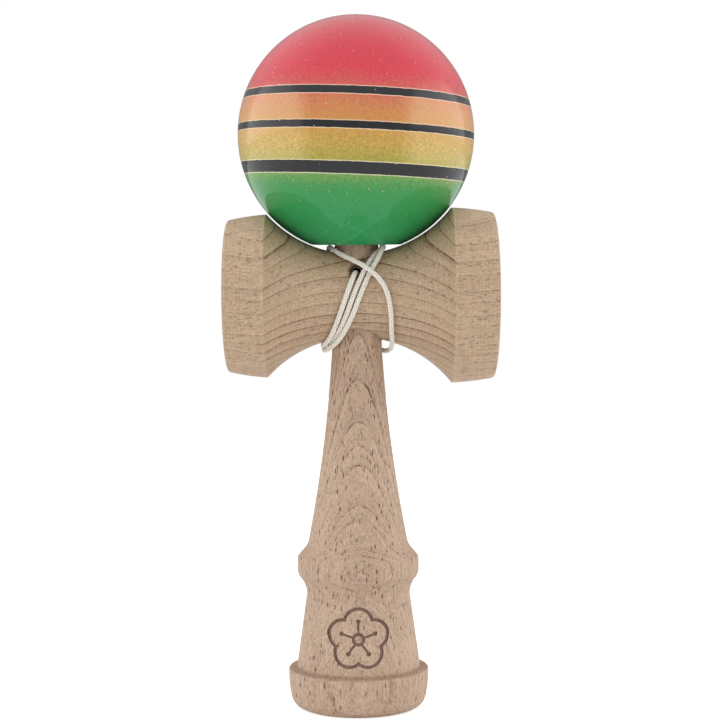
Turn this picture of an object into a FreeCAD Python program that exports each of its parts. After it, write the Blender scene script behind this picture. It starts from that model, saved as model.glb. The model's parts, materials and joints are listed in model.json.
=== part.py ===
"""Kendama: a wooden cup-and-ball toy, as a parametric FreeCAD document, in millimetres.

The turned handle (ken) stands upright on its base cup with its spike pointing up. The cross piece
(sarado) is pressed on the spike's foot, with a small cup on -X and a big cup on +X. The ball (tama)
is seated on the spike. One braided string is knotted inside the ken, leaves the front of the
sarado, winds round its waist, climbs behind the ball and ends in a bead inside the ball's crown.

Frame: +Z up along the ken, origin on the ken's axis in the plane of the base rim, -Y the front.
"""
import FreeCAD, Part
import math
import os

import Sketcher

V = FreeCAD.Vector
doc = FreeCAD.newDocument("kendama")

# ---------------------------------------------------------------- driving sizes
SIZES = {
    # ken: radii and heights along the turned profile, from the base rim to the spike's tip
    "base_cup_radius": 13.0,
    "base_cup_depth": 7.5,
    "base_rim_radius": 14.8,
    "flange_low_radius": 17.0,
    "flange_low_height": 2.3,
    "flange_radius": 17.7,
    "flange_belly_height": 7.9,
    "flange_height": 9.65,
    "flange_edge_round": 0.5,
    "foot_arc_radius": 3.4,
    "flange_arc_radius": 28.0,
    "cone_foot_radius": 15.65,
    "cone_top_radius": 13.27,
    "cone_top_height": 26.8,
    "neck_cove_radius": 6.2,
    "collar_under_radius": 14.85,
    "collar_under_height": 32.6,
    "collar_radius": 15.4,
    "collar_low_height": 35.3,
    "collar_high_height": 36.8,
    "collar_lip_radius": 14.9,
    "collar_lip_height": 38.2,
    "collar_slope_radius": 13.3,
    "collar_slope_height": 40.1,
    "collar_under_arc_radius": 4.2,
    "collar_lip_arc_radius": 1.6,
    "collar_cove_radius": 5.0,
    "grip_low_radius": 12.35,
    "grip_low_height": 42.7,
    "grip_arc_radius": 370.0,
    "shaft_low_radius": 6.36,
    "shaft_low_height": 89.4,
    "shaft_high_radius": 5.65,
    "shaft_high_height": 115.0,
    "spike_end_radius": 2.7,
    "spike_end_height": 150.7,
    "spike_height": 152.8,
    # sarado: a spool turned about the X axis, its axis this high above the base rim
    "sarado_height": 103.7,
    "waist_radius": 10.6,
    "flare_radius": 30.66,
    "small_cup_reach": 32.7,
    "small_cup_inner_reach": 22.78,
    "small_cup_inner_radius": 20.7,
    "small_cup_end_radius": 19.4,
    "small_cup_mouth_radius": 16.8,
    "small_cup_depth": 9.5,
    "big_cup_reach": 34.7,
    "big_cup_inner_reach": 24.02,
    "big_cup_inner_radius": 22.2,
    "big_cup_end_radius": 21.1,
    "big_cup_mouth_radius": 18.6,
    "big_cup_depth": 10.0,
    "cup_side_arc_radius": 60.0,
    "cup_rim_round": 0.9,
    "ken_fit_clearance": 0.03,
    # the string's way into the ken
    "string_hole_height": 109.3,
    "sarado_hole_radius": 1.6,
    "ken_hole_radius": 1.1,
    "knot_pocket_radius": 2.1,
    "knot_pocket_front": 1.0,
    "hole_overlap": 0.5,
    "bore_reach": 12.6,
    # tama
    "tama_radius": 30.0,
    "tama_height": 144.5,
    "tama_lean": 5.2,
    "mouth_radius": 11.6,
    "mouth_round": 2.6,
    "mouth_step": 1.9,
    "bore_radius": 10.4,
    "bore_floor": 14.0,
    "bore_cone_radius": 4.4,
    "bore_cone_top": 18.2,
    "crown_hole_radius": 1.9,
    "crown_sink_radius": 4.0,
    # string, its knots and the bead
    "string_diameter": 1.25,
    "string_gap": 0.12,
    "strand_pitch": 1.3,
    "knot_radius": 1.7,
    "knot_gap": 0.02,
    "bead_face_radius": 2.4,
    "bead_side_radius": 2.376,
    "bead_length": 3.9,
    "bead_hole_radius": 1.0,
    "bead_offset": 13.9,
    # burnt emblem on the front of the base cone: a five-petalled blossom
    "emblem_height": 19.0,
    "emblem_depth": 0.28,
    "emblem_skin": 1.0,
    "petals": 5,
    "petal_ring": 3.9,
    "petal_radius": 3.45,
    "stroke": 0.8,
    "heart_radius": 1.25,
    "stamen_reach": 4.3,
    "stamen_stroke": 0.5,
    "pollen_radius": 0.55,
}

sheet = doc.addObject("Spreadsheet::Sheet", "sizes")
for row, (alias, number) in enumerate(SIZES.items(), start=1):
    sheet.set("A%d" % row, alias.replace("_", " "))
    sheet.set("B%d" % row, str(number))
    sheet.setAlias("B%d" % row, alias)
doc.recompute()


class Size:
    """A driving size, or a sum or product of them: its number and its sheet expression."""

    def __init__(self, number, text):
        self.number = float(number)
        self.text = text

    def __add__(self, other):
        other = as_size(other)
        return Size(self.number + other.number, "(%s + %s)" % (self.text, other.text))

    def __sub__(self, other):
        other = as_size(other)
        return Size(self.number - other.number, "(%s - %s)" % (self.text, other.text))

    def __mul__(self, factor):
        return Size(self.number * factor, "(%s * %s)" % (self.text, factor))

    def __neg__(self):
        return Size(-self.number, "(-%s)" % self.text)


def as_size(value):
    return value if isinstance(value, Size) else Size(value, str(float(value)))


def cell(alias):
    """The named cell of the sheet, as a Size."""
    return Size(sheet.get(alias), "sizes.%s" % alias)


def value(alias):
    return cell(alias).number


def root_difference(radius, other):
    """Leg of a right triangle with hypotenuse radius: how far a sphere or arc reaches."""
    number = math.sqrt(radius.number ** 2 - other.number ** 2)
    return Size(number, "sqrt(pow(%s; 2) - pow(%s; 2))" % (radius.text, other.text))


def dish_ball(mouth, depth):
    """Radius of the ball that makes a dish or a dome of this mouth radius and depth."""
    number = (mouth.number ** 2 + depth.number ** 2) / (2 * depth.number)
    return Size(number, "((pow(%s; 2) + pow(%s; 2)) / (2 * %s))"
                % (mouth.text, depth.text, depth.text))


# ---------------------------------------------------------------- sketches and turned bodies
def new_body(name):
    body = doc.addObject("PartDesign::Body", name)
    body.Label = name
    return body


def plane_sketch(body, role, name):
    """An empty sketch on one of the body's own origin planes."""
    sketch = body.newObject("Sketcher::SketchObject", name)
    plane = next(item for item in body.Origin.OriginFeatures if item.Role == role)
    sketch.AttachmentSupport = [(plane, "")]
    sketch.MapMode = "FlatFace"
    return sketch


def bind(sketch, constraint, size):
    """Add a constraint with a value and tie it to the sheet."""
    index = sketch.addConstraint(constraint)
    sketch.setExpression("Constraints[%d]" % index, size.text)


def arc_between(first, last, radius, bulge):
    """The short arc of a given radius from first to last, its bulge to the left (+1) or right."""
    chord = last - first
    half = chord.Length / 2
    rise = radius - math.sqrt(max(radius ** 2 - half ** 2, 0.0))
    left = V(-chord.y, chord.x, 0).normalize()
    middle = (first + last) * 0.5 + left * (rise * bulge)
    return Part.Arc(first, middle, last)


def draw_outline(sketch, corners):
    """Close an outline through the corners: each is (x, y) or (x, y, arc radius, bulge)."""
    points = [V(as_size(c[0]).number, as_size(c[1]).number, 0) for c in corners]
    ends = []
    for index, corner in enumerate(corners):
        first = points[index]
        last = points[(index + 1) % len(points)]
        if len(corner) == 2:
            edge = sketch.addGeometry(Part.LineSegment(first, last), False)
            ends.append((edge, 1, 2))
            continue
        radius, bulge = as_size(corner[2]), corner[3]
        edge = sketch.addGeometry(arc_between(first, last, radius.number, bulge), False)
        # a sketch arc always runs counter-clockwise, so a left bulge swaps its two ends
        ends.append((edge, 2, 1) if bulge > 0 else (edge, 1, 2))
        bind(sketch, Sketcher.Constraint("Radius", edge, radius.number), radius)
    for index, (edge, start, end) in enumerate(ends):
        following = ends[(index + 1) % len(ends)]
        sketch.addConstraint(
            Sketcher.Constraint("Coincident", edge, end, following[0], following[1]))
        for axis, size, kind in ((0, corners[index][0], "DistanceX"),
                                 (1, corners[index][1], "DistanceY")):
            size = as_size(size)
            if size.number == 0:
                lock = Sketcher.Constraint("PointOnObject", edge, start, -2 if axis == 0 else -1)
                sketch.addConstraint(lock)
            else:
                lock = Sketcher.Constraint(kind, -1, 1, edge, start, size.number)
                bind(sketch, lock, size)


def turn(body, sketch, axis, kind="PartDesign::Revolution"):
    """Turn the sketch a full circle about its own V_Axis or H_Axis."""
    feature = body.newObject(kind, body.Name + "_turned" + str(len(body.Group)))
    feature.Profile = sketch
    feature.ReferenceAxis = (sketch, [axis])
    feature.Angle = 360
    doc.recompute()
    return feature


def drill(body, name, centre_x, centre_y, radius, toward_front, start=None):
    """A round hole along Y from the middle plane, or from start, out to one side."""
    sketch = plane_sketch(body, "XZ_Plane", name + "_circle")
    edge = sketch.addGeometry(Part.Circle(V(centre_x.number, centre_y.number, 0), V(0, 0, 1),
                                          radius.number), False)
    bind(sketch, Sketcher.Constraint("Radius", edge, radius.number), radius)
    for axis, size, sort in ((0, centre_x, "DistanceX"), (1, centre_y, "DistanceY")):
        if size.number == 0:
            sketch.addConstraint(
                Sketcher.Constraint("PointOnObject", edge, 3, -2 if axis == 0 else -1))
        else:
            bind(sketch, Sketcher.Constraint(sort, -1, 1, edge, 3, size.number), size)
    if start is not None:
        # the plane's normal is -Y, so a start behind the middle plane is a negative offset
        sketch.setExpression("AttachmentOffset.Base.z", (-start).text)
    doc.recompute()
    before = body.Shape.Volume
    pocket = body.newObject("PartDesign::Pocket", name)
    pocket.Profile = sketch
    pocket.Type = "ThroughAll"
    pocket.Reversed = toward_front
    doc.recompute()
    removed = before - body.Shape.Volume
    print("%s removes %.2f mm3" % (name, removed))
    if removed <= 0:
        raise SystemExit("%s cuts nothing" % name)


# ---------------------------------------------------------------- ken
def build_ken():
    """The handle: one turned piece with the base cup, two string holes and a burnt emblem."""
    body = new_body("ken_blank")
    sketch = plane_sketch(body, "XZ_Plane", "ken_profile")
    cup_ball = dish_ball(cell("base_cup_radius"), cell("base_cup_depth"))
    tip_ball = dish_ball(cell("spike_end_radius"), cell("spike_height") - cell("spike_end_height"))
    edge_round = cell("flange_edge_round")
    draw_outline(sketch, [
        (0, cell("base_cup_depth"), cup_ball, +1),
        (cell("base_cup_radius"), 0),
        (cell("base_rim_radius"), 0, cell("foot_arc_radius"), -1),
        (cell("flange_low_radius"), cell("flange_low_height"), cell("flange_arc_radius"), -1),
        (cell("flange_radius"), cell("flange_belly_height")),
        (cell("flange_radius"), cell("flange_height") - edge_round, edge_round, -1),
        (cell("flange_radius") - edge_round, cell("flange_height")),
        (cell("cone_foot_radius"), cell("flange_height")),
        (cell("cone_top_radius"), cell("cone_top_height"), cell("neck_cove_radius"), +1),
        (cell("collar_under_radius"), cell("collar_under_height"),
         cell("collar_under_arc_radius"), -1),
        (cell("collar_radius"), cell("collar_low_height")),
        (cell("collar_radius"), cell("collar_high_height"), cell("collar_lip_arc_radius"), -1),
        (cell("collar_lip_radius"), cell("collar_lip_height")),
        (cell("collar_slope_radius"), cell("collar_slope_height"), cell("collar_cove_radius"), +1),
        (cell("grip_low_radius"), cell("grip_low_height"), cell("grip_arc_radius"), +1),
        (cell("shaft_low_radius"), cell("shaft_low_height")),
        (cell("shaft_high_radius"), cell("shaft_high_height")),
        (cell("spike_end_radius"), cell("spike_end_height"), tip_ball, -1),
        (0, cell("spike_height")),
    ])
    turn(body, sketch, "V_Axis")
    zero = as_size(0)
    hole_height = cell("string_hole_height")
    drill(body, "string_hole_front", zero, hole_height, cell("ken_hole_radius"), True,
          start=cell("knot_pocket_front") + cell("hole_overlap"))
    drill(body, "knot_pocket", zero, hole_height, cell("knot_pocket_radius"), False,
          start=cell("knot_pocket_front"))

    engraving = doc.addObject("Part::Feature", "emblem_engraving")
    engraving.Shape = emblem_shape()
    ken = doc.addObject("Part::Cut", "ken")
    ken.Base = body
    ken.Tool = engraving
    ken.Label = "ken"
    doc.recompute()
    print("the emblem removes %.2f mm3" % (body.Shape.Volume - ken.Shape.Volume))
    return ken


def disc(radius, x, z):
    """A round peg along Y through the front half of the ken."""
    return Part.makeCylinder(radius, value("flange_radius"), V(x, 0, z), V(0, -1, 0))


def emblem_shape():
    """The blossom's strokes, as deep as the burn goes into the base cone."""
    middle = value("emblem_height")
    stroke = value("stroke")
    outer = disc(value("petal_ring"), 0, middle)
    inner = disc(value("petal_ring"), 0, middle)
    details = disc(value("heart_radius") + stroke / 2, 0, middle)
    details = details.cut(disc(value("heart_radius") - stroke / 2, 0, middle))
    petals = int(value("petals"))
    for petal in range(petals):
        angle = math.radians(90 + 360 * petal / petals)
        x = value("petal_ring") * math.cos(angle)
        z = middle + value("petal_ring") * math.sin(angle)
        outer = outer.fuse(disc(value("petal_radius") + stroke / 2, x, z))
        inner = inner.fuse(disc(value("petal_radius") - stroke / 2, x, z))
        reach = value("stamen_reach")
        near = value("heart_radius")
        width = value("stamen_stroke")
        stamen = Part.makeBox(reach - near, value("flange_radius"), width,
                              V(near, -value("flange_radius"), -width / 2))
        stamen.rotate(V(0, 0, 0), V(0, -1, 0), math.degrees(angle))
        stamen.translate(V(0, 0, middle))
        tip = disc(value("pollen_radius"), reach * math.cos(angle),
                   middle + reach * math.sin(angle))
        details = details.fuse(stamen).fuse(tip)
    strokes = outer.cut(inner).fuse(details)
    foot, top = value("flange_height"), value("cone_top_height")
    skin = value("emblem_skin")
    depth = value("emblem_depth")
    cone = Part.makeCone(value("cone_foot_radius") + skin, value("cone_top_radius") + skin,
                         top - foot, V(0, 0, foot))
    core = Part.makeCone(value("cone_foot_radius") - depth, value("cone_top_radius") - depth,
                         top - foot, V(0, 0, foot))
    return strokes.common(cone.cut(core))


# ---------------------------------------------------------------- sarado
def bore_radius_at(above_axis):
    """The ken's tapered radius this far above the sarado's axis, plus the fit's clearance."""
    fall = (value("shaft_low_radius") - value("shaft_high_radius")) \
        / (value("shaft_high_height") - value("shaft_low_height"))
    climb = value("sarado_height") + above_axis.number - value("shaft_low_height")
    number = value("shaft_low_radius") + value("ken_fit_clearance") - fall * climb
    text = "(sizes.shaft_low_radius + sizes.ken_fit_clearance" \
           " - (sizes.shaft_low_radius - sizes.shaft_high_radius)" \
           " * (sizes.sarado_height + %s - sizes.shaft_low_height)" \
           " / (sizes.shaft_high_height - sizes.shaft_low_height))" % above_axis.text
    return Size(number, text)


def build_sarado():
    """The cross piece: a spool with a cup in each end, bored for the ken."""
    body = new_body("sarado")
    sketch = plane_sketch(body, "XZ_Plane", "sarado_profile")
    rim = cell("cup_rim_round")
    small, big = cell("small_cup_reach"), cell("big_cup_reach")
    side_arc = cell("cup_side_arc_radius")
    draw_outline(sketch, [
        (-(small - cell("small_cup_depth")), 0,
         dish_ball(cell("small_cup_mouth_radius"), cell("small_cup_depth")), -1),
        (-small, cell("small_cup_mouth_radius")),
        (-small, cell("small_cup_end_radius") - rim, rim, +1),
        (-(small - rim), cell("small_cup_end_radius"), side_arc, +1),
        (-cell("small_cup_inner_reach"), cell("small_cup_inner_radius"),
         cell("flare_radius"), -1),
        (cell("big_cup_inner_reach"), cell("big_cup_inner_radius"), side_arc, +1),
        (big - rim, cell("big_cup_end_radius"), rim, +1),
        (big, cell("big_cup_end_radius") - rim),
        (big, cell("big_cup_mouth_radius"),
         dish_ball(cell("big_cup_mouth_radius"), cell("big_cup_depth")), -1),
        (big - cell("big_cup_depth"), 0),
    ])
    turn(body, sketch, "H_Axis")

    bore = plane_sketch(body, "XZ_Plane", "ken_bore_profile")
    reach = cell("bore_reach")
    low, high = bore_radius_at(-reach), bore_radius_at(reach)
    draw_outline(bore, [(0, -reach), (low, -reach), (high, reach), (0, reach)])
    before = body.Shape.Volume
    turn(body, bore, "V_Axis", "PartDesign::Groove")
    print("ken_bore removes %.2f mm3" % (before - body.Shape.Volume))
    drill(body, "string_hole", as_size(0), cell("string_hole_height") - cell("sarado_height"),
          cell("sarado_hole_radius"), True)
    body.setExpression("Placement.Base.z", "sizes.sarado_height")
    doc.recompute()
    return body


# ---------------------------------------------------------------- tama, bead and knots
def tama_axis():
    """The ball's own axis, which leans a little to the front at its top."""
    lean = math.radians(value("tama_lean"))
    return V(0, -math.sin(lean), math.cos(lean))


def tama_point(along, back=0.0, side=0.0):
    """A point in the ball's own frame: along its axis, back from it, and to its side."""
    axis = tama_axis()
    rearward = V(0, axis.z, -axis.y).normalize()
    centre = V(0, 0, value("tama_height"))
    return centre + axis * along + rearward * back + V(side, 0, 0)


def seat_on_tama_axis(body, along):
    """Stand a body that was turned about +Z on the ball's axis, this far from its centre."""
    turn_to_axis = FreeCAD.Rotation(V(0, 0, 1), tama_axis())
    body.Placement = FreeCAD.Placement(tama_point(along), turn_to_axis)


def build_tama():
    """The ball: bored from below for the spike, with a countersunk string hole in its crown."""
    body = new_body("tama")
    sketch = plane_sketch(body, "XZ_Plane", "tama_profile")
    radius = cell("tama_radius")
    mouth_depth = root_difference(radius, cell("mouth_radius"))
    crown_edge = root_difference(radius, cell("crown_sink_radius"))
    crown_foot = crown_edge - (cell("crown_sink_radius") - cell("crown_hole_radius"))
    draw_outline(sketch, [
        (cell("mouth_radius"), -mouth_depth, cell("mouth_round"), +1),
        (cell("bore_radius"), -(mouth_depth - cell("mouth_step"))),
        (cell("bore_radius"), cell("bore_floor")),
        (cell("bore_cone_radius"), cell("bore_cone_top")),
        (cell("crown_hole_radius"), cell("bore_cone_top")),
        (cell("crown_hole_radius"), crown_foot),
        (cell("crown_sink_radius"), crown_edge, radius, +1),
    ])
    turn(body, sketch, "V_Axis")
    seat_on_tama_axis(body, 0)
    return body


def build_bead():
    """The bead that stops the string inside the crown."""
    body = new_body("bead")
    sketch = plane_sketch(body, "XZ_Plane", "bead_profile")
    half = cell("bead_length") * 0.5
    draw_outline(sketch, [
        (cell("bead_hole_radius"), -half),
        (cell("bead_face_radius"), -half, cell("bead_side_radius"), -1),
        (cell("bead_face_radius"), half),
        (cell("bead_hole_radius"), half),
    ])
    turn(body, sketch, "V_Axis")
    seat_on_tama_axis(body, value("bead_offset") + value("bead_length") / 2)
    return body


def build_knot(name, centre):
    knot = doc.addObject("Part::Sphere", name)
    knot.Label = name
    knot.setExpression("Radius", "sizes.knot_radius")
    knot.Placement.Base = centre
    return knot


# ---------------------------------------------------------------- string route
# Windings round the sarado's waist: the angle round it in degrees from the front, down and
# under, the distance along it in millimetres, and how many strands it lies above the wood.
WINDINGS = [
    # out of the hole, down to the left, up the back and over the top
    (0, -2.4, 0), (30, -4.5, 0), (60, -6.6, 0), (90, -9.0, 0), (120, -8.0, 0), (150, -5.9, 0),
    (180, -2.9, 0), (210, 0.4, 0), (238, 4.0, 0), (262, 7.0, 0), (284, 6.7, 0), (307, 4.2, 0),
    # the second strand beside it
    (330, 1.9, 0), (0, -0.7, 0), (30, -2.8, 0), (60, -5.2, 0), (90, -7.65, 0), (120, -6.6, 0),
    (150, -4.3, 0), (180, -1.2, 0), (210, 2.3, 0), (238, 5.9, 0.4), (262, 6.9, 1.2),
    (284, 6.9, 1.15), (307, 6.2, 0.45),
    # the third strand, which comes back up on the left of the spike
    (330, 3.6, 0), (0, 1.0, 0), (30, -1.3, 0.35), (60, -4.5, 1.05), (90, -8.35, 1.0),
    (118, -8.5, 1.15), (148, -8.8, 0.6), (180, -8.2, 0), (210, -7.8, 0), (240, -7.2, 0),
    (265, -7.1, 0), (287, -6.3, 0), (307, -3.6, 0.2),
    # the last strand crosses over the others and goes down on the right
    (324, 0.6, 1.05), (340, 4.9, 1.05), (357, 7.6, 0), (22, 8.5, 0), (48, 8.6, 0),
]
# From the knot out of the front hole, and the slack loop behind the ken up to the ball.
FROM_KNOT = [(0, 1.6, 109.3), (0, -5.2, 109.3), (-0.5, -11.2, 108.8)]
BEHIND_KEN = [(8.9, -5.4, 91.7), (8.5, -0.8, 89.8), (6.6, 4.8, 89.6), (3.4, 9.6, 91.8),
              (2.2, 13.4, 97.4), (1.6, 14.6, 104.5), (1.2, 19.4, 115.5)]
# Up the back of the ball: degrees above the horizontal through its centre.
OVER_BALL = [-14, 18, 50, 76]
OVER_BALL_CLEARANCE = 0.25
OVER_BALL_HALF_STEP = 16
# Down the crown hole: along the ball's axis, back from it, to its side.
INTO_CROWN = [(30.75, 2.5, 0), (28.2, 0.05, 0), (21.5, 0, 0.35), (13.2, 0, 0)]


def waist_point(angle, x, layer):
    """A route point round the waist, outside the strand's own line by the corner it cuts."""
    corner = 1 / math.cos(math.radians(15))
    flare = value("flare_radius")
    wood = value("waist_radius") + flare - math.sqrt(flare ** 2 - x ** 2)
    reach = wood + value("string_diameter") / 2 + value("string_gap") \
        + layer * value("strand_pitch")
    turned = math.radians(angle)
    return V(x, -reach * corner * math.cos(turned),
             value("sarado_height") - reach * corner * math.sin(turned))


def string_route():
    over = value("tama_radius") + value("string_diameter") / 2 + OVER_BALL_CLEARANCE
    over /= math.cos(math.radians(OVER_BALL_HALF_STEP))
    centre = value("tama_height")
    route = [V(*point) for point in FROM_KNOT]
    route += [waist_point(*turn_) for turn_ in WINDINGS]
    route += [V(*point) for point in BEHIND_KEN]
    for degrees in OVER_BALL:
        angle = math.radians(degrees)
        route.append(V(1.0, over * math.cos(angle), centre + over * math.sin(angle)))
    route += [tama_point(along, back, side) for along, back, side in INTO_CROWN]
    return route


def rounded_runs(route):
    """Straight runs joined by tangent arcs, each as large as its two runs allow."""
    edges = []
    radii = []
    at = route[0]
    for before, corner, after in zip(route, route[1:], route[2:]):
        come = (corner - before)
        leave = (after - corner)
        cut = 0.45 * min(come.Length, leave.Length)
        come.normalize()
        leave.normalize()
        half_turn = come.getAngle(leave) / 2
        radius = cut / math.tan(half_turn)
        radii.append(radius)
        first = corner - come * cut
        last = corner + leave * cut
        inward = (leave - come).normalize()
        middle = corner + inward * (radius / math.cos(half_turn) - radius)
        edges.append(Part.LineSegment(at, first).toShape())
        edges.append(Part.Arc(first, middle, last).toShape())
        at = last
    edges.append(Part.LineSegment(at, route[-1]).toShape())
    return edges, radii


def split_line(edge, fraction):
    first = edge.Vertexes[0].Point
    last = edge.Vertexes[-1].Point
    cut = first + (last - first) * fraction
    return Part.LineSegment(first, cut).toShape(), Part.LineSegment(cut, last).toShape()


def tube(name, edges):
    """A round tube along tangent edges, its volume checked against section times length."""
    path = Part.Wire(edges)
    start = edges[0].Vertexes[0].Point
    heading = edges[0].tangentAt(edges[0].FirstParameter)
    section = Part.Wire(Part.Circle(start, heading, value("string_diameter") / 2).toShape())
    solid = path.makePipeShell([section], True, True)
    feature = doc.addObject("Part::Feature", name)
    feature.Label = name
    feature.Shape = solid
    area = math.pi * value("string_diameter") ** 2 / 4
    length = sum(edge.Length for edge in edges)
    print("%s: length %.1f mm, volume %.2f of %.2f mm3"
          % (name, length, solid.Volume, area * length))
    if abs(solid.Volume / (area * length) - 1) > 0.01:
        raise SystemExit("%s is not the volume of its path" % name)
    return feature, length


def build_string():
    """The string as three tubes, which meet face to face on the straight run up to the ball."""
    route = string_route()
    edges, radii = rounded_runs(route)
    print("arc radii of the string, mm:", " ".join("%.1f" % radius for radius in radii))
    riser = 2 * (len(FROM_KNOT) + len(WINDINGS) + len(BEHIND_KEN) - 1)
    low, rest = split_line(edges[riser], 0.05)
    middle, high = split_line(rest, 0.93)
    parts = [tube("string_windings", edges[:riser] + [low]),
             tube("string_riser", [middle]),
             tube("string_crown", [high] + edges[riser + 1:])]
    print("the string is %.1f mm long in all" % sum(length for part, length in parts))
    return [part for part, length in parts]


# ---------------------------------------------------------------- build, check and write
knot_gap = value("knot_gap")
ken_knot_at = V(*FROM_KNOT[0]) + V(0, value("knot_radius") + knot_gap, 0)
crown_knot_at = tama_point(INTO_CROWN[-1][0] - value("knot_radius") - knot_gap)
pieces = [build_ken(), build_sarado(), build_tama(), build_bead(),
          build_knot("string_knot_ken", ken_knot_at),
          build_knot("string_knot_tama", crown_knot_at)]
pieces += build_string()
doc.recompute()

for item in doc.Objects:
    if "Invalid" in item.State or "Error" in item.State:
        raise SystemExit("%s failed: %s" % (item.Name, item.State))

os.makedirs("parts", exist_ok=True)
for piece in pieces:
    shape = piece.Shape
    if shape.isNull() or not shape.isValid():
        raise SystemExit("%s has no valid shape" % piece.Label)
    box = shape.BoundBox
    print("%-17s %10.1f mm3  x %7.2f %7.2f  y %7.2f %7.2f  z %7.2f %7.2f"
          % (piece.Label, shape.Volume, box.XMin, box.XMax, box.YMin, box.YMax,
             box.ZMin, box.ZMax))
    shape.exportStep(os.path.join("parts", piece.Label + ".step"))
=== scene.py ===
# %% [markdown]
# # A kendama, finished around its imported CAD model
#
# A kendama is a cup-and-ball toy. Its handle (ken), cross piece (sarado) and ball (tama) are turned
# from beech, and a braided cotton string ties the ball to the handle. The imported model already
# holds the turned shapes at their true size, so this script gives them their wood, paint and
# lacquer, and makes the one soft piece, the string, as a real braid that follows its route.

import json
import math

import bpy
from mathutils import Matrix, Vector
from mathutils.kdtree import KDTree


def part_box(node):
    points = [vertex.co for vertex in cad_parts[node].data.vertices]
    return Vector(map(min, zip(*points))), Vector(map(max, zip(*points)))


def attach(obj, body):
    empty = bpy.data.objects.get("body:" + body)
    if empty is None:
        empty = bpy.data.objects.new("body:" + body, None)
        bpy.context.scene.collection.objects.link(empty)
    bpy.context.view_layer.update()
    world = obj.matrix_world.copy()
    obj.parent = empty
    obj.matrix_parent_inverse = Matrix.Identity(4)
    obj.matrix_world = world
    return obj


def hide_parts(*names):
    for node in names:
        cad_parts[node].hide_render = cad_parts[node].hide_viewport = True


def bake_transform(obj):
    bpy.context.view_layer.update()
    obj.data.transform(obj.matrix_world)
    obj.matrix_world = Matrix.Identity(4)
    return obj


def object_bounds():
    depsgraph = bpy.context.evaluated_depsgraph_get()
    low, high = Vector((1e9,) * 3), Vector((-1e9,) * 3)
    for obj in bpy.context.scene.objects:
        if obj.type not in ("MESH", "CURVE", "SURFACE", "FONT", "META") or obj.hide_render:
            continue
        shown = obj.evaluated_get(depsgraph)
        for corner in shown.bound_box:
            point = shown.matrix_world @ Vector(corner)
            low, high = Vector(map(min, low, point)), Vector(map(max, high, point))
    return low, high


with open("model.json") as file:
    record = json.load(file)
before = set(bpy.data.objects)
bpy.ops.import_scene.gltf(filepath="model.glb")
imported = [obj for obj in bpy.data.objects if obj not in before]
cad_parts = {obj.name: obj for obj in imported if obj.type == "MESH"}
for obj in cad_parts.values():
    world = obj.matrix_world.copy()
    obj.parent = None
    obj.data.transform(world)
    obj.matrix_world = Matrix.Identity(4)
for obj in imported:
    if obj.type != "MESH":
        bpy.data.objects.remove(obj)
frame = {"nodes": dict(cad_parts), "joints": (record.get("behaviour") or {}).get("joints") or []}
cad_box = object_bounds()
scene = bpy.context.scene
MM = 0.001
print("nodes:", ", ".join(sorted(frame["nodes"])))

# %% [markdown]
# The ball's centre and its own axis come from the joint that it spins about. The ball sits a
# little askew on the spike, so its painted bands have to be measured along that axis and not
# along the world's Z.

# %% Places that later cells share
spin = next(joint for joint in frame["joints"] if joint["name"] == "tama_spin")
ball_centre = Vector(spin["pos_m"])
ball_axis = Vector(spin["axis"]).normalized()
cross_low, cross_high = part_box("sarado")
cross_axis_z = (cross_low.z + cross_high.z) / 2
print("ball centre %.1f mm up, cross axis %.1f mm up" % (ball_centre.z / MM, cross_axis_z / MM))

# %% [markdown]
# A camera is an object whose data holds the lens. This one stands level with the string, a
# forearm's length away, so that both the top of the base and the underside of the ball show.
# A small roll puts the handle's slight slant into the picture.

# %% Camera
CAMERA_PLACE = Vector((0.00074, -0.360, 0.08735))
LENS_MM = 70.74
CAMERA_ROLL = math.radians(0.3)

camera_data = bpy.data.cameras.new("camera")
camera_data.sensor_width = 36.0
camera_data.lens = LENS_MM
camera = bpy.data.objects.new("camera", camera_data)
camera.location = CAMERA_PLACE
camera.rotation_euler = (math.radians(90), CAMERA_ROLL, 0)
scene.collection.objects.link(camera)
scene.camera = camera
print("camera %.0f mm in front, lens %.1f mm" % (-CAMERA_PLACE.y / MM, LENS_MM))

# %% [markdown]
# ## The string
#
# One braided cotton string starts at a knot inside the handle, leaves the front hole of the cross
# piece, is wound round its waist to take up the slack, climbs behind the ball and dives into the
# hole in the ball's crown, where a bead stops it. Its route is a list of given points.
# Round the waist a point is easier to say as an angle from the front, a distance along the cross
# piece and a layer, so a short function turns those into places. The curve that is drawn later
# cuts the corners between its points, so points on a round surface stand out by that much more.

# %% The route's points
WAIST_RADIUS = 10.6
FLARE_RADIUS = 30.66
BALL_RADIUS = 30.0
STRING_DIAMETER = 1.25
WOOD_GAP = 0.12
STRAND_PITCH = 1.3
WINDING_HALF_STEP = 15

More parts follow.
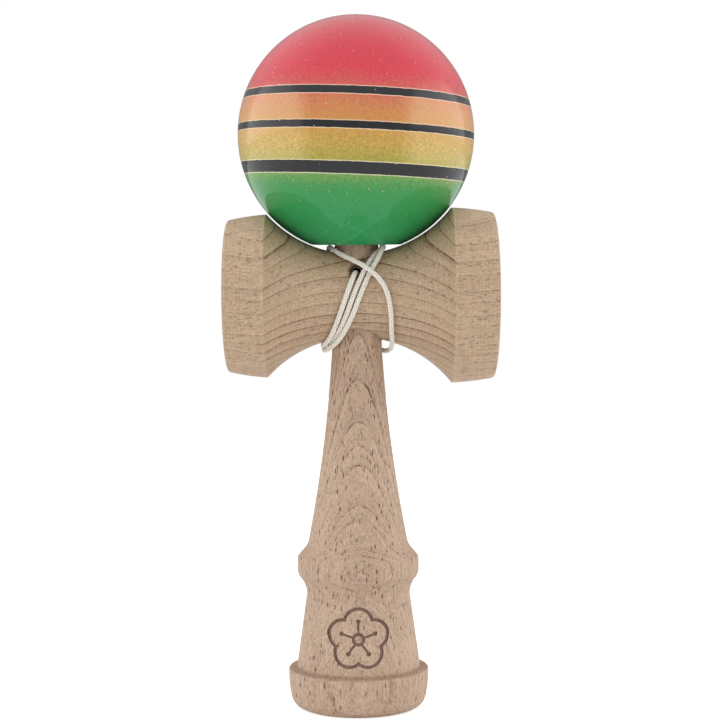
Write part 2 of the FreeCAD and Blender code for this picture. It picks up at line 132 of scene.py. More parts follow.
# degrees round the waist, millimetres along it, strands above the wood
WINDINGS = [
    (0, -2.4, 0), (30, -4.5, 0), (60, -6.6, 0), (90, -9.0, 0), (120, -8.0, 0), (150, -5.9, 0),
    (180, -2.9, 0), (210, 0.4, 0), (238, 4.0, 0), (262, 7.0, 0), (284, 6.7, 0), (307, 4.2, 0),
    (330, 1.9, 0), (0, -0.7, 0), (30, -2.8, 0), (60, -5.2, 0), (90, -7.65, 0), (120, -6.6, 0),
    (150, -4.3, 0), (180, -1.2, 0), (210, 2.3, 0), (238, 5.9, 0.4), (262, 6.9, 1.2),
    (284, 6.9, 1.15), (307, 6.2, 0.45),
    (330, 3.6, 0), (0, 1.0, 0), (30, -1.3, 0.35), (60, -4.5, 1.05), (90, -8.35, 1.0),
    (118, -8.5, 1.15), (148, -8.8, 0.6), (180, -8.2, 0), (210, -7.8, 0), (240, -7.2, 0),
    (265, -7.1, 0), (287, -6.3, 0), (307, -3.6, 0.2),
    (324, 0.6, 1.05), (340, 4.9, 1.05), (357, 7.6, 0), (22, 8.5, 0), (48, 8.6, 0),
]
FROM_KNOT = [(0, 1.6, 109.3), (0, -5.2, 109.3), (-0.5, -11.2, 108.8)]
BEHIND_KEN = [(8.9, -5.4, 91.7), (8.5, -0.8, 89.8), (6.6, 4.8, 89.6), (3.4, 9.6, 91.8),
              (2.2, 13.4, 97.4), (1.6, 14.6, 104.5), (1.2, 19.4, 115.5)]
OVER_BALL = [-14, 18, 50, 76]
OVER_BALL_CLEARANCE = 0.25
OVER_BALL_HALF_STEP = 16
INTO_CROWN = [(30.75, 2.5, 0), (28.2, 0.05, 0), (21.5, 0, 0.35), (13.2, 0, 0)]
STRING_HOLE_Z = FROM_KNOT[0][2]


def waist_point(angle, along, layer):
    """A point of a winding, on the wood or on the strands that already lie there."""
    wood = WAIST_RADIUS + FLARE_RADIUS - math.sqrt(FLARE_RADIUS ** 2 - along ** 2)
    clear = wood + STRING_DIAMETER / 2 + WOOD_GAP + layer * STRAND_PITCH
    reach = clear / math.cos(math.radians(WINDING_HALF_STEP))
    turned = math.radians(angle)
    return Vector((along * MM, -reach * math.cos(turned) * MM,
                   cross_axis_z - reach * math.sin(turned) * MM))


def over_ball_point(degrees):
    """A point behind the ball, so many degrees above the level of its centre."""
    clear = BALL_RADIUS + STRING_DIAMETER / 2 + OVER_BALL_CLEARANCE
    reach = clear / math.cos(math.radians(OVER_BALL_HALF_STEP))
    angle = math.radians(degrees)
    from_middle = Vector((1.0, reach * math.cos(angle), reach * math.sin(angle))) * MM
    return from_middle + Vector((0, 0, ball_centre.z))


def crown_point(along, back, side):
    """A point in the crown hole, measured along the ball's own axis."""
    rearward = Vector((0, ball_axis.z, -ball_axis.y)).normalized()
    return ball_centre + (ball_axis * along + rearward * back + Vector((side, 0, 0))) * MM


route = [Vector(point) * MM for point in FROM_KNOT]
route += [waist_point(*winding) for winding in WINDINGS]
route += [Vector(point) * MM for point in BEHIND_KEN]
route += [over_ball_point(degrees) for degrees in OVER_BALL]
route += [crown_point(*place) for place in INTO_CROWN]
print("the string's route has", len(route), "points")

# %% [markdown]
# A NURBS curve of order 3 rounds the corners between its control points the way a soft string
# does. Converting that curve, with no bevel, to a mesh gives close points along it. They are
# then spaced evenly, so that the braid's stitches come out the same size everywhere.

# %% A smooth line through the route


def line_of(points, name):
    """Close points along a NURBS curve that has these control points."""
    data = bpy.data.curves.new(name, "CURVE")
    data.dimensions = "3D"
    data.resolution_u = 24
    spline = data.splines.new("NURBS")
    spline.points.add(len(points) - 1)
    for control, point in zip(spline.points, points):
        control.co = (*point, 1.0)
    spline.order_u = 3
    spline.use_endpoint_u = True
    guide = bpy.data.objects.new(name, data)
    scene.collection.objects.link(guide)
    bpy.context.view_layer.update()
    evaluated = guide.evaluated_get(bpy.context.evaluated_depsgraph_get())
    mesh = bpy.data.meshes.new_from_object(evaluated)
    line = [vertex.co.copy() for vertex in mesh.vertices]
    bpy.data.objects.remove(guide)
    bpy.data.meshes.remove(mesh)
    return line


def evenly_spaced(line, step):
    """The same line with a point every step metres."""
    spaced = [line[0]]
    carried = 0.0
    for before, after in zip(line, line[1:]):
        run = after - before
        while carried + run.length >= step and run.length > 0:
            before = before + run * ((step - carried) / run.length)
            spaced.append(before)
            run = after - before
            carried = 0.0
        carried += run.length
    return spaced


STITCH_STEP = 0.33 * MM
centreline = evenly_spaced(line_of(route, "string_guide"), STITCH_STEP)

# %% [markdown]
# The real string is a twelve-strand round braid: six strands run round it one way and six the
# other way, each passing over one and under the next. A strand is therefore a helix whose
# distance from the middle swells and shrinks six times a turn, with the two directions in
# opposite step. To wrap helices round a bent line it needs a frame at every point, two directions
# square to the line that turn as little as possible from one point to the next.

# %% Frames along the line


def sideways_frames(line):
    """Two unit directions square to the line at each point, carried along without twist."""
    frames = []
    side = None
    for index, point in enumerate(line):
        ahead = line[min(index + 1, len(line) - 1)] - line[max(index - 1, 0)]
        ahead.normalize()
        if side is None:
            side = ahead.orthogonal()
        side = (side - ahead * side.dot(ahead)).normalized()
        frames.append((side.copy(), ahead.cross(side)))
    return frames


frames = sideways_frames(centreline)
print("frames:", len(frames))

# %% [markdown]
# Each strand becomes one open spline of a single curve object. The curve's bevel depth gives the
# strands their thickness, and converting the curve to a mesh gives one ordinary piece.

# %% Braid the string
STRANDS_EACH_WAY = 6
BRAID_PITCH = 8.4 * MM
BRAID_RADIUS = 0.43 * MM
BRAID_SWELL = 0.04 * MM
STRAND_RADIUS = 0.18 * MM


def strand_points(line, line_frames, way, start):
    """One strand's helix round the line; way is +1 or -1, start its first angle."""
    points = []
    for index, (middle, (side, up)) in enumerate(zip(line, line_frames)):
        angle = way * 2 * math.pi * index * STITCH_STEP / BRAID_PITCH + start
        reach = BRAID_RADIUS + way * BRAID_SWELL * math.cos(STRANDS_EACH_WAY * angle)
        points.append(middle + (side * math.cos(angle) + up * math.sin(angle)) * reach)
    return points


def mesh_of_tubes(name, lines, radius, sides_step=1, closed=False):
    """One mesh piece of round tubes along the given lines."""
    data = bpy.data.curves.new(name, "CURVE")
    data.dimensions = "3D"
    data.bevel_depth = radius
    data.bevel_resolution = sides_step
    data.use_fill_caps = True
    for line in lines:
        spline = data.splines.new("POLY")
        spline.points.add(len(line) - 1)
        for control, point in zip(spline.points, line):
            control.co = (*point, 1.0)
        spline.use_cyclic_u = closed
        spline.use_smooth = True
    shape = bpy.data.objects.new(name + "_curve", data)
    scene.collection.objects.link(shape)
    bpy.context.view_layer.update()
    evaluated = shape.evaluated_get(bpy.context.evaluated_depsgraph_get())
    piece = bpy.data.objects.new(name, bpy.data.meshes.new_from_object(evaluated))
    piece.data.name = name
    scene.collection.objects.link(piece)
    bpy.data.objects.remove(shape)
    return piece


strands = []
for way in (+1, -1):
    for number in range(STRANDS_EACH_WAY):
        start = 2 * math.pi * number / STRANDS_EACH_WAY
        strands.append(strand_points(centreline, frames, way, start))
braid = mesh_of_tubes("braided_string", strands, STRAND_RADIUS)
print("braid:", len(braid.data.polygons), "faces")

# %% [markdown]
# The seams between the strands are greyed with painted shade. Each vertex remembers how far it
# stands from the string's middle line. The number is 0 at the strands' own middle and deeper, so
# also in the seams, and rises to 1 on top of a strand. The material reads it as an attribute.

# %% Remember where the seams are
middle_tree = KDTree(len(centreline))
for index, point in enumerate(centreline):
    middle_tree.insert(point, index)
middle_tree.balance()
outward = braid.data.attributes.new("outward", "FLOAT", "POINT")
for vertex in braid.data.vertices:
    apart = middle_tree.find(vertex.co)[2]
    share = (apart - BRAID_RADIUS) / (STRAND_RADIUS + BRAID_SWELL)
    outward.data[vertex.index].value = min(max(share, 0.0), 1.0)
print("seams marked on", len(braid.data.vertices), "vertices")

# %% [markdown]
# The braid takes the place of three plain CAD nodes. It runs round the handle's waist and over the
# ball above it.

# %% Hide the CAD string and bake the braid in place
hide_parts("string_windings", "string_riser", "string_crown")
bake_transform(braid)

# %% [markdown]
# Both ends carry an overhand knot. The middle line of an overhand knot is a trefoil, which has a
# short formula, so the knot is a tube along it, pulled tight.

# %% Knots
KNOT_POINTS = 60
KNOT_SCALE = 0.36 * MM
KNOT_TUBE = 0.6 * MM


def overhand_knot(name, node):
    """A pulled-tight knot in the middle of the named node's box, which it replaces."""
    low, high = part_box(node)
    middle = (low + high) / 2
    line = []
    for index in range(KNOT_POINTS):
        turn = 2 * math.pi * index / KNOT_POINTS
        line.append(middle + KNOT_SCALE * Vector((math.sin(turn) + 2 * math.sin(2 * turn),
                                                  math.cos(turn) - 2 * math.cos(2 * turn),
                                                  -math.sin(3 * turn))))
    knot = mesh_of_tubes(name, [line], KNOT_TUBE, sides_step=3, closed=True)
    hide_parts(node)
    return knot


handle_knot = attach(overhand_knot("handle_knot", "string_knot_ken"), "ken")
crown_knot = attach(overhand_knot("crown_knot", "string_knot_tama"), "string_end")
print("knots:", handle_knot.name, crown_knot.name)

# %% [markdown]
# ## Writing materials as formulas
#
# A material is a tree of nodes. Patterns like wood need many Math nodes, which are tedious to
# place one by one, so a small class lets a socket be used like a number: adding two of them
# places an Add node. Lengths in the patterns are millimetres, because the Object coordinates,
# which are metres, are scaled up first.

# %% Sockets that behave like numbers


class Wire:
    """An output socket that can be used in sums and products."""

    def __init__(self, tree, socket):
        self.tree = tree
        self.socket = socket

    def math(self, operation, *others):
        node = self.tree.nodes.new("ShaderNodeMath")
        node.operation = operation
        for place, thing in zip(node.inputs, (self, *others)):
            plug(self.tree, place, thing)
        return Wire(self.tree, node.outputs[0])

    def __add__(self, other):
        return self.math("ADD", other)

    def __sub__(self, other):
        return self.math("SUBTRACT", other)

    def __mul__(self, other):
        return self.math("MULTIPLY", other)

    def __truediv__(self, other):
        return self.math("DIVIDE", other)

    def flipped(self):
        """One minus this."""
        return self * -1.0 + 1.0

    def ramp(self, low, high):
        """A smooth step from 0 at low to 1 at high, or down where low is the larger."""
        node = self.tree.nodes.new("ShaderNodeMapRange")
        node.interpolation_type = "SMOOTHSTEP"
        turned = low > high
        plug(self.tree, node.inputs["Value"], self)
        node.inputs["From Min"].default_value = min(low, high)
        node.inputs["From Max"].default_value = max(low, high)
        node.inputs["To Min"].default_value = 1.0 if turned else 0.0
        node.inputs["To Max"].default_value = 0.0 if turned else 1.0
        return Wire(self.tree, node.outputs["Result"])


def plug(tree, place, thing):
    """Link a wire to an input socket, or set the socket's own value."""
    if isinstance(thing, Wire):
        tree.links.new(thing.socket, place)
    else:
        place.default_value = thing


def split(tree, vector):
    """The three parts of a vector, each as a wire."""
    node = tree.nodes.new("ShaderNodeSeparateXYZ")
    plug(tree, node.inputs[0], vector)
    return [Wire(tree, socket) for socket in node.outputs]


def join(tree, x, y, z):
    """A vector made of three wires or numbers."""
    node = tree.nodes.new("ShaderNodeCombineXYZ")
    for place, thing in zip(node.inputs, (x, y, z)):
        plug(tree, place, thing)
    return Wire(tree, node.outputs[0])


def noise(tree, vector, scale=1.0, detail=2.0, roughness=0.5):
    """Smooth random values between 0 and 1, spread around 0.5."""
    node = tree.nodes.new("ShaderNodeTexNoise")
    plug(tree, node.inputs["Vector"], vector)
    node.inputs["Scale"].default_value = scale
    node.inputs["Detail"].default_value = detail
    node.inputs["Roughness"].default_value = roughness
    return Wire(tree, node.outputs[0])


def cells(tree, vector, scale=1.0):
    """Distance to the nearest of many scattered points, and a random number for that point."""
    node = tree.nodes.new("ShaderNodeTexVoronoi")
    plug(tree, node.inputs["Vector"], vector)
    node.inputs["Scale"].default_value = scale
    chance = split(tree, Wire(tree, node.outputs["Color"]))[0]
    return Wire(tree, node.outputs["Distance"]), chance


def mixed(tree, share, first, second):
    """Colour first where share is 0, second where it is 1."""
    node = tree.nodes.new("ShaderNodeMix")
    node.data_type = "RGBA"
    plug(tree, node.inputs[0], share)
    plug(tree, node.inputs[6], first)
    plug(tree, node.inputs[7], second)
    return Wire(tree, node.outputs[2])


def shaded(tree, colour, factor):
    """The colour made lighter or darker by a factor."""
    node = tree.nodes.new("ShaderNodeVectorMath")
    node.operation = "SCALE"
    plug(tree, node.inputs[0], colour)
    plug(tree, node.inputs["Scale"], factor)
    return Wire(tree, node.outputs[0])


def new_group(name, inputs, outputs):
    """A node group with named sockets, and its group input and output."""
    group = bpy.data.node_groups.new(name, "ShaderNodeTree")
    for title, kind, default in inputs:
        socket = group.interface.new_socket(name=title, in_out="INPUT", socket_type=kind)
        if default is not None:
            socket.default_value = default
    for title, kind in outputs:
        group.interface.new_socket(name=title, in_out="OUTPUT", socket_type=kind)
    entry = group.nodes.new("NodeGroupInput")
    leave = group.nodes.new("NodeGroupOutput")
    given = {title: Wire(group, entry.outputs[title]) for title, _, _ in inputs}
    return group, given, leave


def use_group(tree, group, **values):
    """Place a group in a tree. Words in names are joined by underscores."""
    node = tree.nodes.new("ShaderNodeGroup")
    node.node_tree = group
    for title, thing in values.items():
        plug(tree, node.inputs[title.replace("_", " ")], thing)
    return {socket.name: Wire(tree, socket) for socket in node.outputs}


def new_material(name):
    """A material, its tree, its Principled shader and the Object coordinates in millimetres."""
    material = bpy.data.materials.new(name)
    material.use_nodes = True
    tree = material.node_tree
    shader = tree.nodes["Principled BSDF"]
    place = tree.nodes.new("ShaderNodeTexCoord")
    scale = tree.nodes.new("ShaderNodeVectorMath")
    scale.operation = "SCALE"
    scale.inputs["Scale"].default_value = 1 / MM
    tree.links.new(place.outputs["Object"], scale.inputs[0])
    return material, tree, shader, Wire(tree, scale.outputs[0])


def bump(tree, shader, height):
    """Raise the surface by a height in millimetres."""
    node = tree.nodes.new("ShaderNodeBump")
    node.inputs["Strength"].default_value = 1.0
    node.inputs["Distance"].default_value = MM
    plug(tree, node.inputs["Height"], height)
    tree.links.new(node.outputs["Normal"], shader.inputs["Normal"])


def rgb(red, green, blue):
    """A colour given as 0 to 255 per channel, as a paint chart does, in linear light."""
    channels = [value / 255 for value in (red, green, blue)]
    linear = [c / 12.92 if c <= 0.04045 else ((c + 0.055) / 1.055) ** 2.4 for c in channels]
    return (*linear, 1.0)


print("material helpers ready")

# %% [markdown]
# ## Beech
#
# Beech is a pale pinkish wood. Three things make it recognisable. Growth rings are thin darker
# lines round the tree's pith. Rays are thin sheets that run out from the pith, and where they
# are cut across they show as short dark spindles along the grain. Fine pores and fibres streak
# everything along the grain, some darker and some paler than the wood round them. All of these
# are solid patterns: they are worked out in space round a pith axis, so the turned shape cuts
# through them as the lathe does, and arches appear on the tapering grip without being drawn.

# %% Beech as a node group
beech, given, leave = new_group(
    "beech",
    [("Point", "NodeSocketVector", None),
     ("Ring Spacing", "NodeSocketFloat", 1.5),
     ("Ring Strength", "NodeSocketFloat", 0.5),
     ("Fleck Strength", "NodeSocketFloat", 0.7),
     ("Fleck Width", "NodeSocketFloat", 1.3),
     ("Fleck Length", "NodeSocketFloat", 7.0),
     ("Wobble", "NodeSocketFloat", 1.5),
     ("Breaks", "NodeSocketFloat", 0.85),
     ("Pale", "NodeSocketColor", rgb(200, 172, 148)),
     ("Dark", "NodeSocketColor", rgb(128, 92, 68))],
    [("Color", "NodeSocketColor"), ("Height", "NodeSocketFloat"),
     ("Roughness", "NodeSocketFloat")])
PITH_REACH = 45.0
x, y, z = split(beech, given["Point"])

wobble = noise(beech, join(beech, x * 0.05, y * 0.05, z * 0.018), detail=3.0)
from_pith = (x * x + y * y).math("SQRT") + wobble * given["Wobble"]
uneven = noise(beech, join(beech, from_pith * 0.45, 0.0, 0.0), detail=1.0)
ring = (from_pith + uneven * 3.0) / given["Ring Spacing"]
phase = ring.math("FRACT")
ring_line = phase.ramp(0.88, 0.955) * phase.ramp(1.0, 0.965)
ring_shade = phase.math("POWER", 2.0) * phase.ramp(1.0, 0.94)
gaps = noise(beech, join(beech, x * 0.45, y * 0.45, z * 0.75), detail=2.0).ramp(0.46, 0.60)
ring_line = ring_line * (gaps * given["Breaks"] + given["Breaks"].flipped())

round_pith = y.math("ARCTAN2", x) * PITH_REACH
fleck_place = join(beech, round_pith / given["Fleck Width"], z / given["Fleck Length"],
                   from_pith / 1.6)
fleck_distance, fleck_chance = cells(beech, fleck_place)
fleck = fleck_distance.ramp(0.25, 0.14) * fleck_chance.ramp(0.10, 0.70)

fibres = noise(beech, join(beech, x * 2.6, y * 2.6, z * 0.16), detail=3.0, roughness=0.6)
fine_fibres = noise(beech, join(beech, x * 9.0, y * 9.0, z * 0.7), detail=2.0)
pore_distance, pore_chance = cells(beech, join(beech, x * 2.4, y * 2.4, z * 0.42))
pore = pore_distance.ramp(0.24, 0.14) * pore_chance.ramp(0.3, 0.7)
glint_distance, glint_chance = cells(beech, join(beech, x * 2.0 + 7.0, y * 2.0 + 3.0, z * 0.45))
glint = glint_distance.ramp(0.24, 0.14) * glint_chance.ramp(0.3, 0.7)
clouds = noise(beech, join(beech, x * 0.09, y * 0.09, z * 0.03), detail=2.0)
fuzz = noise(beech, join(beech, x * 3.2, y * 3.2, z * 1.5), detail=3.0, roughness=0.7)
ripple = noise(beech, join(beech, from_pith * 6.0, x * 0.35, z * 0.12), detail=2.0)

darkness = ring_line * given["Ring Strength"] + ring_shade * given["Ring Strength"] * 0.22
darkness = darkness + fleck * given["Fleck Strength"] + pore * 0.45
darkness = darkness + (fibres - 0.5) * 0.60 + (fine_fibres - 0.5) * 1.0 + (clouds - 0.5) * 0.25
darkness = darkness + (fuzz - 0.5) * 0.75 + (ripple - 0.5) * 0.45 - glint * 0.34
colour = mixed(beech, (darkness + 0.27).math("MAXIMUM", 0.0).math("MINIMUM", 1.0),
               given["Pale"], given["Dark"])
height = fibres * 0.02 + fine_fibres * 0.02 + fuzz * 0.05
height = height - pore * 0.08 - fleck * 0.12 - ring_line * 0.03
rough = fibres * 0.12 + fleck * 0.05 + 0.50
beech.links.new(colour.socket, leave.inputs["Color"])
beech.links.new(height.socket, leave.inputs["Height"])
beech.links.new(rough.socket, leave.inputs["Roughness"])
print("beech group:", len(beech.nodes), "nodes")

# %% [markdown]
# A lathe leaves faint grooves round the piece, and sanding leaves a few hair-thin scratches.
# Both depend only on the place along the piece's own axis, so they share one group.

# %% Lathe marks as a node group
lathe, given, leave = new_group("lathe_marks", [("Along", "NodeSocketFloat", 0.0),
                                                ("Point", "NodeSocketVector", None)],
                                [("Height", "NodeSocketFloat"), ("Shade", "NodeSocketFloat")])
coarse = noise(lathe, join(lathe, given["Along"] * 1.3, 0.0, 0.0), detail=2.0)
fine = noise(lathe, join(lathe, given["Along"] * 3.4, 0.0, 0.0), detail=2.0)
patches = noise(lathe, given["Point"], scale=0.20, detail=3.0).ramp(0.35, 0.65)
marks = (coarse - 0.5) * 0.010 + (fine - 0.5) * 0.008 * (patches * 0.8 + 0.2)
shade = (fine - 0.5) * (patches * 0.7 + 0.3)
lathe.links.new(marks.socket, leave.inputs["Height"])
lathe.links.new(shade.socket, leave.inputs["Shade"])
print("lathe group:", len(lathe.nodes), "nodes")

# %% [markdown]
# The handle was cut with the pith behind it and the grain running out a little towards the
# spike, so its front is a flat-sawn face with round-topped arches. The emblem on the base is
# pressed 0.28 mm into the cone in the CAD model. Its scorched brown needs no drawing either:
# wherever the surface lies below the plain cone, it is burnt. A faint darker line marks the
# groove where the flange begins.

# %% Handle wood
CONE_FOOT = (9.65, 15.65)
CONE_TOP = (26.8, 13.27)
EMBLEM_DEPTH = 0.28

handle_wood, tree, shader, point = new_material("handle_beech")
x, y, z = split(tree, point)
grain_y = y + (z - 60.0) * 0.06 - 40.0
off_middle = x.math("ABSOLUTE").ramp(0.5, 4.0) * 0.42 + 0.34
wood = use_group(tree, beech, Point=join(tree, x + 0.8, grain_y, z + 31.0), Ring_Spacing=1.4,
                 Ring_Strength=z.ramp(20.0, 50.0) * 0.46 + 0.22, Fleck_Strength=off_middle,
                 Fleck_Width=0.62, Fleck_Length=3.6, Wobble=1.0, Breaks=0.92,
                 Pale=rgb(212, 184, 159), Dark=rgb(104, 66, 46))
turned = use_group(tree, lathe, Along=z, Point=point)

slope = (CONE_TOP[1] - CONE_FOOT[1]) / (CONE_TOP[0] - CONE_FOOT[0])
cone = (z - CONE_FOOT[0]) * slope + CONE_FOOT[1]
depth = cone - (x * x + y * y).math("SQRT")
on_cone = z.ramp(CONE_FOOT[0], CONE_FOOT[0] + 0.2) * z.ramp(CONE_TOP[0], CONE_TOP[0] - 0.2)
burnt = depth.ramp(0.06, 0.16) * depth.ramp(EMBLEM_DEPTH + 0.5, EMBLEM_DEPTH + 0.3) * on_cone
mottle = noise(tree, point, scale=2.2, detail=3.0)
scorch = mixed(tree, mottle.ramp(0.35, 0.7), rgb(112, 80, 74), rgb(140, 108, 98))
surface = shaded(tree, wood["Color"], turned["Shade"] * 0.12 + 1.0)
surface = mixed(tree, burnt * 0.94, surface, scorch)
# A darker line along the groove where the flange begins.
groove = z.ramp(9.2, 9.6) * z.ramp(10.6, 9.9)
surface = mixed(tree, groove * 0.30, surface, rgb(120, 84, 62))
plug(tree, shader.inputs["Base Color"], surface)
plug(tree, shader.inputs["Roughness"], wood["Roughness"] + burnt * 0.15)
shader.inputs["Specular IOR Level"].default_value = 0.35
bump(tree, shader, wood["Height"] + turned["Height"] + burnt * (mottle - 0.5) * 0.06)
print("handle wood:", len(tree.nodes), "nodes")

# %% [markdown]
# The cross piece is turned with its grain along its own axis, and its growth rings lean back.
# Nearly flat rings cut by the flaring waist give the long arched lines from cup to cup. The two
# ridges between waist and cup lose a little fibre in use, so they are paler in patches. The wood
# is dark where the handle goes in, and chipped and dark round the string's hole.

# %% Cross wood
RING_LEAN = math.radians(22.8)
RING_REACH = 90.0
RIDGES = (-22.78, 24.02)
HANDLE_IN_BORE = 6.0

cross_wood, tree, shader, point = new_material("cross_beech")
x, y, z = split(tree, point)
pith_y = RING_REACH * math.sin(RING_LEAN)
pith_z = cross_axis_z / MM - RING_REACH * math.cos(RING_LEAN)
on_cup = (x - (RIDGES[0] + RIDGES[1]) / 2).math("ABSOLUTE").ramp(22.9, 23.7)
wood = use_group(tree, beech, Point=join(tree, z - pith_z, y - pith_y, x), Ring_Spacing=2.7,
                 Ring_Strength=on_cup * -0.25 + 0.62, Fleck_Strength=0.22, Fleck_Width=1.0,
                 Fleck_Length=3.0, Wobble=1.0, Breaks=on_cup * 0.55 + 0.35,
                 Pale=rgb(209, 182, 152), Dark=rgb(108, 74, 50))
turned = use_group(tree, lathe, Along=x, Point=point)
crumbs = noise(tree, point, scale=1.6, detail=3.0)
surface = shaded(tree, wood["Color"], turned["Shade"] * 0.9 + 1.0)
for ridge in RIDGES:
    near = (x - ridge).math("ABSOLUTE").ramp(0.55, 0.05) * crumbs.ramp(0.40, 0.62)
    surface = mixed(tree, near * 0.45, surface, rgb(222, 198, 166))
from_handle = (x * x + y * y).math("SQRT") - HANDLE_IN_BORE
seam = from_handle.ramp(0.50, 0.15)
from_hole = (x * x + (z - STRING_HOLE_Z) * (z - STRING_HOLE_Z)).math("SQRT")
chipped = (from_hole + crumbs * 1.2).ramp(3.1, 2.4) * y.ramp(-6.0, -7.0)
surface = mixed(tree, seam * 0.75, surface, rgb(84, 58, 42))
surface = mixed(tree, chipped * 0.8, surface, rgb(92, 62, 44))
plug(tree, shader.inputs["Base Color"], surface)
plug(tree, shader.inputs["Roughness"], wood["Roughness"] + turned["Shade"] * 0.1)
shader.inputs["Specular IOR Level"].default_value = 0.35
bump(tree, shader, wood["Height"] + turned["Height"])
print("cross wood:", len(tree.nodes), "nodes")

# %% [markdown]
# ## The ball's paint
#
# The ball is sprayed red, orange, yellow and green in soft bands, each drifting into the next as
# a fine speckle of overspray. The lowest green is painted lighter, painted light that lifts the
# shade under the ball. Red mist lies over the orange, and between the outer stripes the colour is
# lighter to the left and right, a painted reflection of the side lights. Three charcoal stripes
# were masked with tape, which left a hair of pale primer along both their edges, and a glossy
# lacquer seals it all with a few dust specks. Inside the bore and the crown hole the wood is bare.
# Everything hangs on one number, the height along the axis it was spun on while it was sprayed,
# which is a little off the bore's own axis.

# %% Ball paint
# Painted light: the lowest green stop is lighter, to lift the shade under the ball.
BANDS_WITH_PAINTED_LIFT = [(-30.0, (44, 164, 98)), (-22.0, (26, 144, 78)), (-13.8, (52, 146, 72)),
         (-10.9, (108, 154, 76)), (-7.9, (158, 152, 58)), (-4.4, (184, 154, 64)),
         (-0.6, (198, 154, 70)), (2.6, (202, 144, 76)), (5.4, (202, 130, 80)),
         (7.8, (200, 110, 80)), (10.0, (202, 78, 76)), (13.6, (206, 48, 66)),
         (22.0, (198, 40, 58)), (30.0, (178, 26, 46))]
STRIPES = [(8.75, 1.8), (0.6, 1.7), (-9.35, 2.8)]
BAND_ROLL = math.radians(2.5)
TAPE_BLUR = 0.03
PRIMER_EDGE = 0.26
PAINT_DEPTH = (28.9, 28.5)

ball_paint, tree, shader, point = new_material("ball_paint")
from_centre = tree.nodes.new("ShaderNodeVectorMath")
from_centre.operation = "SUBTRACT"
plug(tree, from_centre.inputs[0], point)
from_centre.inputs[1].default_value = ball_centre / MM
along = tree.nodes.new("ShaderNodeVectorMath")
along.operation = "DOT_PRODUCT"
tree.links.new(from_centre.outputs[0], along.inputs[0])
band_axis = (ball_axis + Vector((math.tan(BAND_ROLL), 0, 0))).normalized()
along.inputs[1].default_value = band_axis
level = Wire(tree, along.outputs["Value"])

speckle = noise(tree, point, scale=1.7, detail=3.0, roughness=0.85)
drift = noise(tree, point, scale=0.09, detail=1.0)
sprayed = level + (speckle - 0.5) * 12.0 + (drift - 0.5) * 2.4
ramp = tree.nodes.new("ShaderNodeValToRGB")
stops = ramp.color_ramp.elements
for number, (place, colour) in enumerate(BANDS_WITH_PAINTED_LIFT):
    stop = stops[number] if number < 2 else stops.new(1.0)
    stop.position = (place + BALL_RADIUS) / (2 * BALL_RADIUS)
    stop.color = rgb(*colour)
plug(tree, ramp.inputs[0], (sprayed + BALL_RADIUS) / (2 * BALL_RADIUS))
paint = Wire(tree, ramp.outputs["Color"])

tape = noise(tree, point, scale=0.55, detail=3.0)
level_at_tape = level + (tape - 0.5) * 0.30
charcoal_all = None
primer_all = None
for middle, width in STRIPES:
    apart = (level_at_tape - middle).math("ABSOLUTE")
    charcoal = apart.ramp(width / 2 + TAPE_BLUR, width / 2 - TAPE_BLUR)
    primer = apart.ramp(width / 2 + PRIMER_EDGE, width / 2 + PRIMER_EDGE - 0.08) - charcoal
    charcoal_all = charcoal if charcoal_all is None else charcoal_all + charcoal
    primer_all = primer if primer_all is None else primer_all + primer
primed = mixed(tree, 0.62, paint, rgb(250, 232, 205))
painted = mixed(tree, primer_all, paint, primed)
sheen = noise(tree, point, scale=3.0, detail=2.0)
stripe_paint = mixed(tree, sheen.ramp(0.3, 0.8), rgb(18, 22, 26), rgb(30, 33, 38))
mist = noise(tree, point, scale=1.5, detail=4.0, roughness=1.0)
# Painted reflection: lighter paint to the left and right between the outer stripes.
sideways = split(tree, point)[0].math("ABSOLUTE")
side_reflection_painted = sideways.ramp(9.0, 15.5) * level.ramp(-12.0, -8.0) * level.ramp(10.0, 7.0)
painted = mixed(tree, side_reflection_painted * 0.25, painted, rgb(246, 220, 160))
blush = mist.ramp(0.46, 0.60) * level.ramp(-6.0, 3.0) * level.ramp(16.0, 8.0)
painted = mixed(tree, blush * 0.50, painted, rgb(184, 84, 62))
grain = level.ramp(-9.0, -4.0) * level.ramp(12.0, 7.0) * 1.3 + 1.3
painted = shaded(tree, painted, (mist - 0.5) * grain + 1.04)
painted = mixed(tree, charcoal_all, painted, stripe_paint)

core = use_group(tree, beech, Point=point, Ring_Spacing=1.6, Fleck_Width=0.8,
                 Fleck_Length=3.0, Pale=rgb(212, 184, 159), Dark=rgb(104, 66, 46))
out_from_centre = tree.nodes.new("ShaderNodeVectorMath")
out_from_centre.operation = "LENGTH"
tree.links.new(from_centre.outputs[0], out_from_centre.inputs[0])
bare = Wire(tree, out_from_centre.outputs["Value"]).ramp(*PAINT_DEPTH)
painted = mixed(tree, bare, painted, core["Color"])

dust_distance, dust_chance = cells(tree, point, scale=0.62)
dust = dust_distance.ramp(0.095, 0.065) * dust_chance.ramp(0.45, 0.8)
grit_distance, grit_chance = cells(tree, point, scale=0.30)
grit = grit_distance.ramp(0.05, 0.03) * grit_chance.ramp(0.6, 0.7)
painted = mixed(tree, dust * 0.75, painted, rgb(250, 225, 215))
painted = mixed(tree, grit * 0.7, painted, rgb(70, 60, 40))
plug(tree, shader.inputs["Base Color"], painted)
shader.inputs["Roughness"].default_value = 0.55
shader.inputs["Specular IOR Level"].default_value = 0.2
plug(tree, shader.inputs["Coat Weight"], bare.flipped() * 0.8)
shader.inputs["Coat IOR"].default_value = 1.45
shader.inputs["Coat Roughness"].default_value = 0.07
peel = noise(tree, point, scale=0.5, detail=1.0)
bump(tree, shader, peel * 0.012 + dust * 0.02 - primer_all * 0.012 + charcoal_all * 0.010)
print("ball paint:", len(tree.nodes), "nodes")
